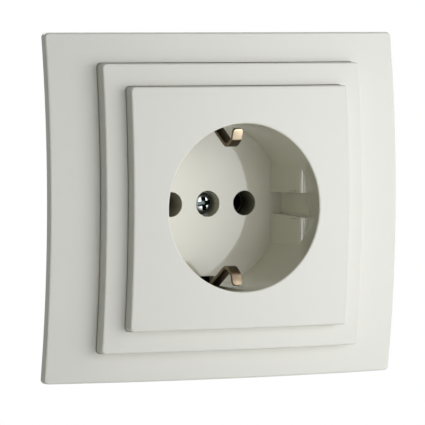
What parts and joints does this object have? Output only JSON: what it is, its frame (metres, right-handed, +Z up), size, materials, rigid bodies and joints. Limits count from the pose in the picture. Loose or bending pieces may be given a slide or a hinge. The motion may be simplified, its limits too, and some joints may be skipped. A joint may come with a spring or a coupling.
{
  "type": "wall socket",
  "caption": "Flush wall socket with a round earthed plug well in a stepped, bowed white frame; it screws or claws into a round wall box.",
  "frame": {"origin": "centre of the socket on the wall plane, between the two box screw slots", "axes": "+Z up, +X to the right seen from the front, the front faces -Y and the wall box lies along +Y"},
  "size_m": [0.089, 0.0457, 0.0796],
  "materials": {
    "white_plastic": "satin moulded",
    "base_plastic": "matt moulded",
    "zinc_steel": "zinc plated",
    "bronze": "rolled spring bronze",
    "brass": "rolled brass"
  },
  "bodies": {
    "socket": {"outer_frame": "white_plastic", "middle_bezel": "white_plastic", "socket_cover": "white_plastic", "contact_base": "base_plastic", "cover_screw": "zinc_steel", "support_ring": "zinc_steel", "ring_rivets": "zinc_steel", "left_claw_pin": "zinc_steel", "right_claw_pin": "zinc_steel", "left_claw_screw": "zinc_steel", "right_claw_screw": "zinc_steel", "live_terminal_screw": "zinc_steel", "neutral_terminal_screw": "zinc_steel", "earth_terminal_screw": "zinc_steel", "live_clamp_plate": "zinc_steel", "neutral_clamp_plate": "zinc_steel", "earth_clamp_plate": "zinc_steel", "earth_bridge": "bronze", "live_contact": "brass", "neutral_contact": "brass", "cover_screw_bush": "brass"},
    "left_claw": {"left_claw": "zinc_steel"},
    "right_claw": {"right_claw": "zinc_steel"}
  },
  "joints": [
    {"name": "left_claw_swing", "type": "hinge", "parent": "socket", "child": "left_claw", "pos_m": [-0.0273, 0.00275, 0], "axis": [0, 0, 1], "range_deg": [0, 25]},
    {"name": "right_claw_swing", "type": "hinge", "parent": "socket", "child": "right_claw", "pos_m": [0.0273, 0.00275, 0], "axis": [0, 0, -1], "range_deg": [0, 25]}
  ]
}
